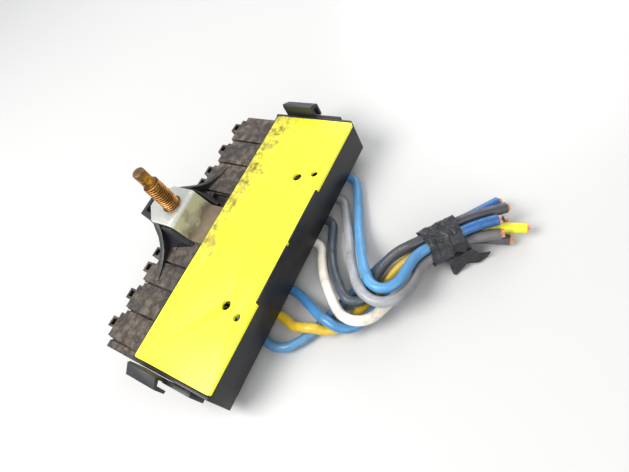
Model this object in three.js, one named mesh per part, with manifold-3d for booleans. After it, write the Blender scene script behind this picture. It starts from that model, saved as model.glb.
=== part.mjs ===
// Fuse box panel: a vehicle supply fuse box with a yellow lid, a castellated carrier that holds
// the input stud, strip fuses on a busbar under the lid, and a cut-off harness of seven cables.
// Millimetres, +Z up, +X along the box, +Y towards the input stud, the cables leaving towards -Y.
// The origin is on the table under the middle of the box, with the cables left out.

import * as THREE from 'three';
import { mergeVertices } from 'three/addons/utils/BufferGeometryUtils.js';
import Module from 'manifold-3d';

const wasm = await Module();
wasm.setup();

// ---- driving dimensions -------------------------------------------------------------------

const GAP = 0.3; // clearance between pieces that touch

const HOUSING = { half: 79.5, front: -50, back: 3, wall: 2.2, endWall: 1.7, floor: 2.5, rim: 26 };
const WALL_FOOT = 6.2; // the front wall ends above the table, and the cables pass under it
const LID = { half: 77.5, front: -49.9, back: 0.9, top: 26.5, thickness: 2, corner: 1.2 };
const LID_HOLES = [[38.4, -34, 2.7], [42, -43.2, 2.1]]; // x, y, radius, on both sides of the middle
const LID_SEAT = LID.top - LID.thickness - GAP;
const SNAP_RAIL = { half: 32.5, split: 1, overlap: 1.2, top: 27.1 };

const WAY = { count: 9, pitch: 14.5, wired: [1, 2, 3, 5, 6, 7, 8] };
const OUTLET_STUD_Y = -36.5;
const BUSBAR_STUD_Y = -6.5;
const SMALL_STUD = { radius: 2.5, top: 20.2 };
const CONTACT = 13.3; // height of the faces that the fuse tabs lie on
const BUSBAR = { half: 73, front: -14, back: -1, thickness: 2.3 };
const BUSBAR_TAB = { minX: -7, maxX: 8, back: -2, top: 20.3 };
const OUTLET = { half: 5, front: -41, back: -31.5, thickness: 1.3 };
const BARREL = { front: -47.2, back: -40, floor: -41.4, z: 3.6, outer: 3.3, inner: 2.95 };
const FUSE = { tab: 0.8, half: 5, overhang: 5.5, bodyHalf: 6, bodyFront: -29, bodyBack: -14.4 };
const FUSE_BODY = { bottom: 11.5, top: 19.5 };
const NUT = { acrossFlats: 8, height: 4, bore: 2.8 };

const COMB = { minX: -79.8, maxX: 79, front: 3.3, back: 29.6, nose: 32.4, top: 20.3, deck: 3 };
const GROOVES = [-75.3, -58.3, -41.3, -27, 22.2, 42.9, 60.2];
const GROOVE = { half: 0.6, depth: 1.8 };
const NOTCH = 2.9; // open gap in the outer edge beside each groove
const CELL = { longest: 18, wall: 1.5 }; // hollows moulded into the underside of the comb
const LUG = { half: 3, tip: 37, top: 19.9, bottom: 12, wall: 1.2 };
const LUG_X = [-67.4, -50.2, -33, -23.2, 26.6, 35.8, 53, 70.2];

const BRACKET = { middle: 0.4, half: 12, thickness: 2.5, top: 35.8, back: 42.2, end: -10 };
const BEND = { topY: 18.6, footY: 13.4, footZ: 23.1 };
const STUD = { x: 1.5, y: 28, radius: 4.9, tip: 3.6, top: 64.5, tipLength: 9.8, head: 5.8, headBase: 27 };
const PEDESTAL = { top: 33, front: 21.2, back: 38, left: -10.4, right: 12.2 };
const GUSSET = {
  mirror: 1.8,
  outer: [[-39.5, 24], [-31, 26.4], [-22.2, 29], [-16.8, 31.2], [-11.8, 35.8], [-9.4, 43]],
  inner: [[-6.8, 43], [-8.4, 34], [-14.6, 28.3], [-21.4, 25.9], [-30, 23.3], [-38.5, 20.9]],
  edge: [
    [-42, 20.7], [-38, 20.7], [-31, 21.4], [-26, 22.6], [-22.2, 24.2], [-19.4, 26.1],
    [-16.8, 28.4], [-14, 30.8], [-11.5, 32.5],
  ],
};
const RIVET = { y: -6, x: [-3.2, 4.4], shank: 1.6, head: 2.8 };

const LATCH = { inner: 79.95, outer: 86, ridge: 33.3, brow: 30.1, hem: 22.5, wall: 1.5 };
const LATCH_Y = { rootFront: -40, rootBack: -36, hookFront: -24.1, hookBack: -4.1 };

const CABLE = { radius: 2.4, sides: 8, step: 5 };
const BUNDLE = { start: [22.2, -109.4], end: [34.6, -121.6], z: 9.9, pitch: 5.4 };
const TAPE = { inner: 8.5, outer: 9.7, taper: 0.5, sides: 14 };

const wayX = (way) => (way - (WAY.count - 1) / 2) * WAY.pitch;

// ---- finishes -----------------------------------------------------------------------------

const finish = (color, roughness, metalness) => () =>
  new THREE.MeshStandardMaterial({ color, roughness, metalness });

const blackPlastic = finish(0x24262a, 0.6, 0);
const dustyPlastic = finish(0x554c45, 0.85, 0);
const yellowPlastic = finish(0xf6ee4a, 0.5, 0);
const platedSteel = finish(0xa9a98c, 0.45, 0.9);
const yellowZinc = finish(0xa9742b, 0.45, 0.9);
const tinnedCopper = finish(0xb7a58c, 0.4, 0.95);
const zincSteel = finish(0xb9bcc0, 0.4, 0.95);
const fuseMoulding = finish(0xd9d4c4, 0.55, 0);
const blackTape = finish(0x16171b, 0.4, 0);

// ---- modelling helpers --------------------------------------------------------------------

function toSolid(geometry) {
  const bare = geometry.clone();
  bare.deleteAttribute('normal');
  bare.deleteAttribute('uv');
  const merged = mergeVertices(bare, 1e-4);
  return new wasm.Manifold(new wasm.Mesh({
    numProp: 3,
    vertProperties: new Float32Array(merged.attributes.position.array),
    triVerts: new Uint32Array(merged.index.array),
  }));
}

function toGeometry(solid) {
  const mesh = solid.getMesh();
  const geometry = new THREE.BufferGeometry();
  geometry.setAttribute('position', new THREE.BufferAttribute(new Float32Array(mesh.vertProperties), 3));
  geometry.setIndex(new THREE.BufferAttribute(new Uint32Array(mesh.triVerts), 1));
  geometry.computeVertexNormals();
  return geometry;
}

const join = (...solids) => solids.flat().reduce((whole, next) => whole.add(next));
const cut = (body, ...tools) => tools.flat().reduce((rest, tool) => rest.subtract(tool), body);
const outline = (points) => new THREE.Shape(points.map(([u, v]) => new THREE.Vector2(u, v)));
const raised = (shape, depth) => new THREE.ExtrudeGeometry(shape, {
  depth, bevelEnabled: false, curveSegments: 5,
});

// A block between two opposite corners.
function block([x0, y0, z0], [x1, y1, z1]) {
  const box = new THREE.BoxGeometry(x1 - x0, y1 - y0, z1 - z0);
  return toSolid(box.translate((x0 + x1) / 2, (y0 + y1) / 2, (z0 + z1) / 2));
}

// An XY shape raised from z0 to z1.
const plate = (shape, z0, z1) => toSolid(raised(shape, z1 - z0).translate(0, 0, z0));

// A shape drawn in X and Z, pushed from y0 to y1.
const slabAlongY = (shape, y0, y1) =>
  toSolid(raised(shape, y1 - y0).rotateX(Math.PI / 2).translate(0, y1, 0));

// A shape drawn in Y and Z, pushed from x0 to x1.
const slabAlongX = (shape, x0, x1) =>
  toSolid(raised(shape, x1 - x0).rotateX(Math.PI / 2).rotateZ(Math.PI / 2).translate(x0, 0, 0));

// An upright bar with the given number of sides, from z0 to z1.
function post(x, y, z0, z1, radius, sides = 16) {
  const bar = new THREE.CylinderGeometry(radius, radius, z1 - z0, sides);
  return toSolid(bar.rotateX(Math.PI / 2).translate(x, y, (z0 + z1) / 2));
}

// A bar lying along Y.
function barAlongY(x, z, y0, y1, radius, sides = 12) {
  const bar = new THREE.CylinderGeometry(radius, radius, y1 - y0, sides);
  return toSolid(bar.translate(x, (y0 + y1) / 2, z));
}

// A turned piece on a vertical axis, from [radius, z] points.
function turned(points, x, y, sides = 20) {
  const profile = points.map(([radius, z]) => new THREE.Vector2(radius, z));
  return toSolid(new THREE.LatheGeometry(profile, sides).rotateX(Math.PI / 2).translate(x, y, 0));
}

const panel = new THREE.Group();

function addPiece(name, shape, material) {
  const mesh = new THREE.Mesh(shape.isBufferGeometry ? shape : toGeometry(shape), material());
  mesh.name = name;
  panel.add(mesh);
}

// ---- housing and lid ----------------------------------------------------------------------

function housing() {
  const { half, front, back, wall, endWall, floor, rim } = HOUSING;
  const inside = half - endWall;
  const shell = [
    block([-half, front, WALL_FOOT], [half, front + wall, LID_SEAT]),
    block([-half, back - 1.8, 0], [half, back, rim - 0.6]),
    block([-half, front, 0], [-inside, back, rim]),
    block([inside, front, 0], [half, back, rim]),
    block([-half, -38, 0], [half, back, floor]),
  ];
  const ribs = [
    block([-inside - 1, -38, 0], [inside + 1, -32, CONTACT - OUTLET.thickness - GAP]),
    block([-inside - 1, -12, 0], [inside + 1, -4, CONTACT - BUSBAR.thickness - GAP]),
  ];
  const partitions = Array.from({ length: WAY.count - 1 }, (_, way) => {
    const x = wayX(way) + WAY.pitch / 2;
    return block([x - 0.7, front + 1.1, 0], [x + 0.7, -30, LID_SEAT]);
  });
  const rails = [-1, 1].map((side) => {
    const ends = [side * SNAP_RAIL.split, side * SNAP_RAIL.half].sort((a, b) => a - b);
    return block(
      [ends[0], front, LID_SEAT - 1],
      [ends[1], front + SNAP_RAIL.overlap - GAP, SNAP_RAIL.top],
    );
  });
  const bracketWay = block(
    [BRACKET.middle - BRACKET.half - 0.8, back - 2.5, CONTACT + 6],
    [BRACKET.middle + BRACKET.half + 0.8, back + 1, rim + 1],
  );
  const corner = plate(outline([
    [half - 3, front - 1], [half + 1, front - 1], [half + 1, front + 3],
  ]), -1, rim + 1);
  const cableBay = block([-half - 1, front - 1, -1], [half + 1, -41, WALL_FOOT]);
  return cut(join(shell, ribs, partitions, rails), bracketWay, corner, cableBay);
}

function lid() {
  const { half, front, back, corner, top, thickness } = LID;
  const shape = new THREE.Shape();
  shape.moveTo(-half + corner, front);
  shape.lineTo(half - corner, front);
  shape.absarc(half - corner, front + corner, corner, -Math.PI / 2, 0);
  shape.absarc(half - corner, back - corner, corner, 0, Math.PI / 2);
  shape.absarc(-half + corner, back - corner, corner, Math.PI / 2, Math.PI);
  shape.absarc(-half + corner, front + corner, corner, Math.PI, 1.5 * Math.PI);
  const holes = [-1, 1].flatMap((side) =>
    LID_HOLES.map(([x, y, radius]) => post(side * x, y, top - 4, top + 1, radius, 18)));
  const railNotch = block(
    [-SNAP_RAIL.half - GAP, front - 1, top - 4],
    [SNAP_RAIL.half + GAP, HOUSING.front + SNAP_RAIL.overlap, top + 1],
  );
  return cut(plate(shape, top - thickness, top), holes, railNotch);
}

// ---- comb carrier: open-bottomed blocks, edge lugs, pedestal, gussets and guard loop ----------

// Height of the concave flank that sweeps from the deck up to the pedestal top.
const flank = (t, low, high) => low + (high - low) * t ** 2.5;

// A web on each side of the pedestal, curved in plan and hollowed along its top edge.
function gusset(side) {
  const place = ([x, y]) => [side < 0 ? x : GUSSET.mirror - x, y];
  const plan = plate(outline(GUSSET.outer.concat(GUSSET.inner).map(place)), COMB.top - 1.5, 34);
  const below = slabAlongY(outline([
    ...GUSSET.edge, [4, PEDESTAL.top - 0.5], [4, COMB.top - 3], [-42, COMB.top - 3],
  ].map(place)), 10, 52);
  return plan.intersect(below);
}

// A low wing that fills the corner between the pedestal and the bracket's upright on each side.
function flankWing(side) {
  const place = ([x, y]) => [side < 0 ? x : GUSSET.mirror - x, y];
  const plan = plate(outline([[-19, 28], [-11.9, 28], [-11.9, 12.3], [-14, 12.3]].map(place)), 18, 34);
  const slope = slabAlongY(outline([
    [-20, 18], [-20, 20.7], [-17.4, 22], [-15.4, 24.6], [-13.8, 28], [-12.6, 33], [-11, 33], [-11, 18],
  ].map(place)), 10, 30);
  const behindUpright = slabAlongX(outline([
    [10, 18], [29, 18], [29, 33], [19.6, 33], [12.6, 20.9], [10, 20.9],
  ]), -22, 24);
  return plan.intersect(slope).intersect(behindUpright);
}

function pedestal() {
  const { top, front, back, left, right } = PEDESTAL;
  const low = COMB.top - 2;
  const flare = 8.6;
  const steps = [0, 0.25, 0.5, 0.75, 1];
  const rise = (t) => flank(t, COMB.top + 0.4, top - 0.3);
  const rightFlank = steps.map((t) => [right + flare * (1 - t), rise(t)]);
  const leftFlank = steps.map((t) => [left - flare * (1 - t), rise(t)]).reverse();
  const body = slabAlongY(outline([
    [left - flare, low], [right + flare, low], ...rightFlank, ...leftFlank,
  ]), front + 0.6, 29.2);
  const boss = plate(outline([
    [left, front], [right, front], [right, back - 4], [right - 4, back], [left + 4, back], [left, back - 4],
  ]), 24, top);
  const socket = post(STUD.x, STUD.y, STUD.headBase - GAP, top + 1, STUD.head + GAP, 20);
  return cut(join(body, boss), socket);
}

function guardLoop() {
  const bar = 2.6;
  const root = PEDESTAL.back - 6;
  const tip = 50;
  const outer = [[-11, root], [13, root], [10.2, tip], [-8, tip]];
  const inner = [[-11 + bar, root - 5], [13 - bar, root - 5], [10.2 - bar, tip - bar], [-8 + bar, tip - bar]];
  return cut(
    plate(outline(outer), PEDESTAL.top - 5.5, PEDESTAL.top - 0.5),
    plate(outline(inner), PEDESTAL.top - 7, PEDESTAL.top + 1),
  );
}

function combCarrier() {
  const { minX, maxX, front, back, nose, top, deck } = COMB;
  const edges = [...GROOVES, maxX];
  const blocks = GROOVES.map((start, i) => ({ start, end: edges[i + 1], hub: i === 3 }));
  const noses = blocks.filter(({ hub }) => !hub).map(({ start, end }) =>
    block([start + 0.2, back - 1, 0], [end - NOTCH, nose, top]));
  const lugs = LUG_X.map((x) => cut(
    block([x - LUG.half, nose - 3.5, LUG.bottom], [x + LUG.half, LUG.tip, LUG.top]),
    block([x - LUG.half + LUG.wall, nose + 0.6, 0], [x + LUG.half - LUG.wall, LUG.tip - LUG.wall, top]),
  ));
  const cells = blocks.flatMap(({ start, end, hub }) => {
    const count = Math.ceil((end - start) / CELL.longest);
    const pitch = (end - start - CELL.wall) / count;
    return Array.from({ length: count }, (_, i) => {
      const x = start + CELL.wall + i * pitch;
      return block(
        [x, front + CELL.wall, -1],
        [x + pitch - CELL.wall, back - CELL.wall, hub ? top - 7 : top - deck],
      );
    });
  });
  const grooves = GROOVES.map((x) => block(
    [x - GROOVE.half, front + 1, top - GROOVE.depth],
    [x + GROOVE.half, nose + 1, top + 1],
  ));
  const endStep = block([minX - 1, front + 1, top - 0.8], [GROOVES[0], nose, top + 1]);
  const well = block([PEDESTAL.right + 1.4, front + 1.2, top - 3.6], [GROOVES[4] - 0.2, 20, top + 1]);
  const base = join(block([minX, front, 0], [maxX, back, top]), noses, lugs);
  const shaped = cut(base, cells, grooves, endStep, well);
  const sides = [-1, 1].flatMap((side) => [gusset(side), flankWing(side)]);
  return join(shaped, pedestal(), sides, guardLoop());
}

// ---- input bracket, stud and busbar -------------------------------------------------------

function inputBracket() {
  const { middle, half, thickness, top, back, end } = BRACKET;
  const { topY, footY, footZ } = BEND;
  const left = middle - half;
  const right = middle + half;
  const bend = 2.6;
  const side = new THREE.Shape();
  side.moveTo(back, top - thickness);
  side.lineTo(back, top);
  side.lineTo(topY + bend, top);
  side.quadraticCurveTo(topY, top, topY - 1, top - bend);
  side.lineTo(footY + 0.7, footZ + 1.6);
  side.quadraticCurveTo(footY, footZ, footY - 1.6, footZ);
  side.lineTo(end, footZ);
  side.lineTo(end, footZ - thickness);
  side.lineTo(footY + 1.2, footZ - thickness);
  side.quadraticCurveTo(footY + 2.6, footZ - thickness, footY + 3.2, footZ - thickness + 2);
  side.lineTo(topY + 1.6, top - thickness - 0.8);
  side.lineTo(topY + 2.6, top - thickness);
  const plan = plate(outline([
    [left, end - 1], [right, end - 1], [right, back - 7.6],
    [right - 8.6, back], [left + 8.6, back], [left, back - 7.6],
  ]), 0, top + 1);
  const holes = [
    post(STUD.x, STUD.y, top - 6, top + 1, STUD.radius + 0.6, 20),
    ...RIVET.x.map((x) => post(x, RIVET.y, footZ - 6, footZ + 1, RIVET.shank + GAP, 12)),
  ];
  return cut(slabAlongX(side, left - 1, right + 1).intersect(plan), holes);
}

function inputStud() {
  const { x, y, radius, tip, top, tipLength, head, headBase } = STUD;
  const shoulder = BRACKET.top - BRACKET.thickness - GAP;
  return turned([
    [0, headBase], [head, headBase], [head, shoulder], [radius, shoulder],
    [radius, top - tipLength - 1.2], [tip, top - tipLength], [tip, top - 0.8], [tip - 0.8, top], [0, top],
  ], x, y);
}

function supplyBusbar() {
  const { half, front, back, thickness } = BUSBAR;
  const { minX, maxX, back: tabBack, top } = BUSBAR_TAB;
  const bar = block([-half, front, CONTACT - thickness], [half, back, CONTACT]);
  const riser = block([minX, front, CONTACT - thickness], [maxX, front + thickness, top]);
  const tab = block([minX, front, top - thickness], [maxX, tabBack, top]);
  const studs = WAY.wired.map((way) =>
    post(wayX(way), BUSBAR_STUD_Y, CONTACT - 1, SMALL_STUD.top, SMALL_STUD.radius, 12));
  const rivetHoles = RIVET.x.map((x) => post(x, RIVET.y, top - 4, top + 1, RIVET.shank + GAP, 12));
  return cut(join(bar, riser, tab, studs), rivetHoles);
}

function rivet(x) {
  const underside = BUSBAR_TAB.top - BUSBAR.thickness - GAP;
  const seat = BEND.footZ + GAP;
  const { shank, head, y } = RIVET;
  return turned([
    [0, underside - 1], [head, underside - 1], [head, underside], [shank, underside],
    [shank, seat], [head, seat], [head, seat + 0.8], [0, seat + 0.8],
  ], x, y, 14);
}

// ---- one fused way: outlet terminal, strip fuse, two nuts ------------------------------------

function outletTerminal(x) {
  const { half, front, back, thickness } = OUTLET;
  const { outer, inner, z } = BARREL;
  const flange = block([x - half, front, CONTACT - thickness], [x + half, back, CONTACT]);
  const drop = block([x - 4, front, z], [x + 4, front + 1.2, CONTACT]);
  const stud = post(x, OUTLET_STUD_Y, CONTACT - 1, SMALL_STUD.top, SMALL_STUD.radius, 12);
  const barrel = barAlongY(x, z, BARREL.front, BARREL.back, outer);
  const mouth = barAlongY(x, z, BARREL.front - 1, BARREL.floor, inner);
  return cut(join(flange, drop, stud, barrel), mouth);
}

function stripFuse(x) {
  const { tab, half, overhang, bodyHalf, bodyFront, bodyBack } = FUSE;
  const low = CONTACT + GAP;
  const strip = block(
    [x - half, OUTLET_STUD_Y - overhang + 1.2, low],
    [x + half, BUSBAR_STUD_Y + overhang, low + tab],
  );
  const body = block([x - bodyHalf, bodyFront, FUSE_BODY.bottom], [x + bodyHalf, bodyBack, FUSE_BODY.top]);
  const holes = [OUTLET_STUD_Y, BUSBAR_STUD_Y].map((y) =>
    post(x, y, low - 1, low + 2, SMALL_STUD.radius + 0.4, 12));
  return cut(join(strip, body), holes);
}

function nut(x, y) {
  const base = CONTACT + FUSE.tab + 2 * GAP;
  const corner = NUT.acrossFlats / Math.sqrt(3);
  return cut(
    post(x, y, base, base + NUT.height, corner, 6),
    post(x, y, base - 1, base + NUT.height + 1, NUT.bore, 12),
  );
}

// ---- end latches --------------------------------------------------------------------------

function endLatch(side) {
  const { inner, outer, ridge, brow, hem, wall } = LATCH;
  const { rootFront, rootBack, hookFront, hookBack } = LATCH_Y;
  const flip = (x) => side * x;
  const section = [
    [inner, hem - 1], [inner, ridge - 1.2], [inner + 0.9, ridge], [outer, brow], [outer, hem],
    [outer - wall, hem], [outer - wall, brow - 1], [inner + wall, ridge - 3], [inner + wall, hem - 1],
  ].map(([x, z]) => [flip(x), z]);
  const hook = slabAlongY(outline(side > 0 ? section : section.reverse()), hookFront, hookBack);
  const span = (a, b) => [flip(a), flip(b)].sort((p, q) => p - q);
  const [armX0, armX1] = span(inner, inner + 2);
  const [rootX0, rootX1] = span(HOUSING.half + GAP, inner + 2);
  const arm = block([armX0, rootFront, 17], [armX1, hookFront + 2, 25.5]);
  const root = block([rootX0, rootFront, 14], [rootX1, rootBack, 25.5]);
  return join(hook, arm, root);
}

// ---- cables and tape ----------------------------------------------------------------------

const [BUNDLE_X, BUNDLE_Y] = BUNDLE.start;
const BUNDLE_LENGTH = Math.hypot(BUNDLE.end[0] - BUNDLE_X, BUNDLE.end[1] - BUNDLE_Y);
const BUNDLE_ANGLE = Math.atan2(BUNDLE.end[1] - BUNDLE_Y, BUNDLE.end[0] - BUNDLE_X);
const ROW_HEIGHT = BUNDLE.pitch * Math.sqrt(3) / 2;

// A place in the hexagonal bundle: pitches across, rows up, millimetres along from the tape start.
function inBundle(across, row, along) {
  const [c, s] = [Math.cos(BUNDLE_ANGLE), Math.sin(BUNDLE_ANGLE)];
  const side = across * BUNDLE.pitch;
  return [BUNDLE_X + c * along - s * side, BUNDLE_Y + s * along + c * side, BUNDLE.z + row * ROW_HEIGHT];
}

// Each cable: its colour, its place in the bundle, and the free runs before and after the tape.
const CABLES = {
  cable_1: {
    color: 0xa8cbe4,
    place: [-0.5, 1],
    from: [
      [58, -46.6, 3.4], [56.3, -53, 3.3], [51, -57.2, 3.2], [44.9, -60.3, 3.2], [38.9, -63.4, 3.3],
      [32.9, -66.5, 3.8], [26.9, -69.6, 4.7], [21.3, -73.1, 6.3], [15.9, -76.7, 8.4],
      [10.7, -80.4, 10.7], [5.5, -84.3, 12.8], [0.5, -88.6, 14.4], [-3.8, -93.8, 15.3],
      [-4, -100.3, 15.7], [0.7, -104.9, 15.7], [7.3, -106.3, 15.5], [14, -107.4, 15],
    ],
    to: [
      [38.5, -130.5, 14.4], [42.5, -135.9, 13.5],
    ],
  },
  cable_2: {
    color: 0xc9c9cb,
    place: [-1, 0],
    from: [
      [43.5, -46.6, 3.4], [41.5, -52.8, 3.3], [36.1, -56.7, 3.2], [30.3, -60.3, 3.5],
      [24.8, -64, 4.5], [19.4, -67.7, 6.1], [14, -71.3, 8], [8.7, -75, 10.1], [3.6, -78.8, 12.2],
      [-1.4, -83, 13.9], [-6.3, -87.6, 15.1], [-9.8, -93.2, 15.4], [-10.7, -99.8, 15.1],
      [-7.5, -105.6, 14.3], [-2, -109.2, 13.3], [4.5, -110.3, 12], [11.1, -109.9, 10.6],
    ],
    to: [
      [35, -132.1, 10], [37.7, -138.3, 10.1],
    ],
  },
  cable_3: {
    color: 0x3b3b40,
    place: [0.5, 1],
    from: [
      [29, -46.6, 3.4], [26.8, -52.6, 3.3], [20.9, -55.7, 3.2], [14.8, -58.3, 3.4], [9, -61.5, 4],
      [3.5, -65.2, 5.1], [-1.3, -69.4, 6.8], [-5.8, -74.1, 8.5], [-10.2, -79, 9.5],
      [-12.5, -85.1, 9.5], [-9, -90.5, 9.2], [-2.5, -91.6, 9.3], [4.1, -91.9, 10.1],
      [10.2, -94.1, 11.4], [15.5, -97.9, 13], [19.8, -102.8, 14.3],
    ],
    to: [
      [42.9, -126.7, 13.5], [47, -131.7, 11.9], [51.2, -136.7, 10.5],
    ],
  },
  cable_4: {
    color: 0xece9df,
    place: [-0.5, -1],
    from: [
      [14.5, -46.6, 3.4], [12.2, -52.8, 3.3], [6.3, -56.5, 3.6], [0.7, -60.4, 4.8],
      [-4.4, -64.7, 6.7], [-9.2, -69.5, 8.2], [-13.9, -74.6, 8.9], [-18.4, -79.9, 9.4],
      [-21.2, -85.9, 11], [-20.8, -92.7, 11], [-16.5, -97.7, 9.4], [-10.2, -100.5, 8.4],
      [-3.7, -102.8, 7.4], [2.8, -104.9, 6.4], [9.4, -106.8, 5.6], [16, -108.8, 4.8],
    ],
    to: [
      [35.7, -127.9, 4.9], [37.6, -134.6, 4], [39.3, -141.2, 3.1],
    ],
  },
  cable_5: {
    color: 0x33546a,
    place: [0.5, -1],
    from: [
      [-14.5, -46.6, 3.4], [-15.7, -53.3, 3.4], [-18.2, -59.6, 4.3], [-20.9, -65.6, 6.3],
      [-23.5, -71.5, 8.4], [-25.4, -77.9, 9.9], [-26, -84.5, 8.4], [-22.7, -89.8, 6],
      [-17, -93.4, 5.4], [-10.8, -96.3, 4.6], [-4.4, -98.6, 3.6], [2.1, -100.5, 2.9],
      [8.9, -101.8, 2.8], [15.5, -103.1, 3.6],
    ],
    to: [
      [40.9, -124.9, 4.7], [44.4, -130.8, 4.4], [47.7, -136.8, 4.4],
    ],
  },
  cable_6: {
    color: 0xb39a33,
    place: [0, 0],
    from: [
      [-29, -46.6, 3.4], [-30.2, -53.1, 3.3], [-32.1, -59.4, 4.3], [-31.8, -65.5, 7],
      [-30.5, -71.9, 8], [-28.4, -77.5, 5.3], [-24.2, -82.4, 3.5], [-18.6, -86, 3.1],
      [-12.5, -88.8, 2.9], [-6.4, -91.4, 3], [-0.2, -94, 4.1], [5.6, -96.6, 6], [11.1, -99.8, 8],
      [16.2, -104, 9.4],
    ],
    to: [
      [39.2, -128, 9.3], [41.4, -134.2, 8], [43.4, -140.4, 6.7], [45.5, -146.7, 5.5],
    ],
  },
  cable_7: {
    color: 0x2f4858,
    place: [1, 0],
    from: [
      [-43.5, -46.6, 3.4], [-44.4, -53.4, 3.1], [-42.8, -60, 2.9], [-38.1, -65.1, 2.8],
      [-32.6, -69.1, 2.8], [-26.3, -72.1, 2.8], [-20, -74.9, 2.8], [-13.6, -77.7, 2.8],
      [-7.4, -80.7, 2.9], [-1.2, -83.7, 3.3], [5, -86.8, 4.2], [10.8, -90.2, 5.6],
      [16.1, -94.4, 7.2], [20.5, -99.4, 8.8],
    ],
    to: [
      [45.2, -123.3, 8.9], [50.7, -127.2, 7.4], [56.2, -131.2, 6],
    ],
  },
};

function cable({ place: [across, row], from, to }) {
  const taped = [-2, 5, 12, 19].map((along) => inBundle(across, row, along));
  const points = [...from, ...taped, ...to].map((p) => new THREE.Vector3(...p));
  const path = new THREE.CatmullRomCurve3(points);
  const corners = Array.from({ length: CABLE.sides }, (_, i) => {
    const angle = (i / CABLE.sides) * 2 * Math.PI;
    return [CABLE.radius * Math.cos(angle), CABLE.radius * Math.sin(angle)];
  });
  return new THREE.ExtrudeGeometry(outline(corners), {
    steps: Math.round(path.getLength() / CABLE.step),
    extrudePath: path,
    bevelEnabled: false,
  });
}

// The tape round the seven cables, slightly tapered towards the cut ends.
function tapeWrap() {
  const { inner, outer, taper, sides } = TAPE;
  const alongBundle = (radiusStart, radiusEnd, from, to) => {
    const bar = new THREE.CylinderGeometry(radiusStart, radiusEnd, to - from, sides);
    bar.rotateY(Math.PI / sides);
    bar.rotateZ(BUNDLE_ANGLE + Math.PI / 2);
    return toSolid(bar.translate(...inBundle(0, 0, (from + to) / 2)));
  };
  return cut(
    alongBundle(outer, outer - taper, 0, BUNDLE_LENGTH),
    alongBundle(inner, inner, -2, BUNDLE_LENGTH + 2),
  );
}

// The loose end of the tape, hanging down beside the wrap to just above the table.
function tapeTail() {
  const sheet = raised(outline([
    [5.5, 9], [6.2, 0.6], [8.5, 0.2], [12.5, 2.6], [16.5, 1], [22.5, 0.4], [24.5, 2.4], [19.5, 4.6], [17, 9],
  ]), 0.6);
  sheet.rotateX(Math.PI / 2);
  sheet.rotateX(-0.34);
  sheet.rotateZ(BUNDLE_ANGLE);
  const [x, y] = inBundle(-13.1 / BUNDLE.pitch, 0, 0);
  return toSolid(sheet.translate(x, y, 0.5));
}

// ---- assembly -----------------------------------------------------------------------------

addPiece('housing', housing(), blackPlastic);
addPiece('lid', lid(), yellowPlastic);
addPiece('comb_carrier', combCarrier(), dustyPlastic);
addPiece('input_bracket', inputBracket(), platedSteel);
addPiece('input_stud', inputStud(), yellowZinc);
addPiece('supply_busbar', supplyBusbar(), tinnedCopper);
RIVET.x.forEach((x, i) => addPiece(`bracket_rivet_${i + 1}`, rivet(x), zincSteel));
addPiece('latch_left', endLatch(-1), blackPlastic);
addPiece('latch_right', endLatch(1), blackPlastic);
WAY.wired.forEach((way, i) => {
  const x = wayX(way);
  addPiece(`outlet_terminal_${i + 1}`, outletTerminal(x), tinnedCopper);
  addPiece(`strip_fuse_${i + 1}`, stripFuse(x), fuseMoulding);
  addPiece(`outlet_nut_${i + 1}`, nut(x, OUTLET_STUD_Y), zincSteel);
  addPiece(`busbar_nut_${i + 1}`, nut(x, BUSBAR_STUD_Y), zincSteel);
});
for (const [name, route] of Object.entries(CABLES)) {
  addPiece(name, cable(route), finish(route.color, 0.5, 0));
}
addPiece('tape_wrap', tapeWrap(), blackTape);
addPiece('tape_tail', tapeTail(), blackTape);

export default panel;
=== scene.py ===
"""Fuse box panel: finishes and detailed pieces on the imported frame."""

import math
import random

import bmesh
import bpy
from mathutils import Matrix, Vector, noise


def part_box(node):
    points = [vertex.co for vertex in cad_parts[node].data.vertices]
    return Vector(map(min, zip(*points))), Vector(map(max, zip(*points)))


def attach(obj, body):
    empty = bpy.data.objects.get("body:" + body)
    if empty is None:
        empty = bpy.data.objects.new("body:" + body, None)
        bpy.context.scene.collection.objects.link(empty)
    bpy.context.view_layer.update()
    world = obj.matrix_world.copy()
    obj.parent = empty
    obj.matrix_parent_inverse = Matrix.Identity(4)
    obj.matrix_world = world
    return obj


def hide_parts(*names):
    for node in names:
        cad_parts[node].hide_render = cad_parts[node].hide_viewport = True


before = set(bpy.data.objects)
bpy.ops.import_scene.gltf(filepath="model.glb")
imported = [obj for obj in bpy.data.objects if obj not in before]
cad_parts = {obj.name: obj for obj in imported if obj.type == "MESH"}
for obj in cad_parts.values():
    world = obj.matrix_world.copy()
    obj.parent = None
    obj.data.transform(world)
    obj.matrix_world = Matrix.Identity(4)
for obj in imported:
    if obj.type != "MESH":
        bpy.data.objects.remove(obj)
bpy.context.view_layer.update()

bl_info = {
    "name": "Fuse Box Panel",
    "version": (1, 0, 0),
    "blender": (4, 5, 0),
    "location": "3D View > Sidebar > Fuse Box",
    "description": "Builds the looks of a vehicle fuse box with a cut-off cable harness",
    "category": "Object",
}

MM = 0.001
BOX, LID = "box", "lid_body"
LATCHES = {"latch_left": "latch_left_body", "latch_right": "latch_right_body"}
WAYS = range(1, 8)

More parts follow.
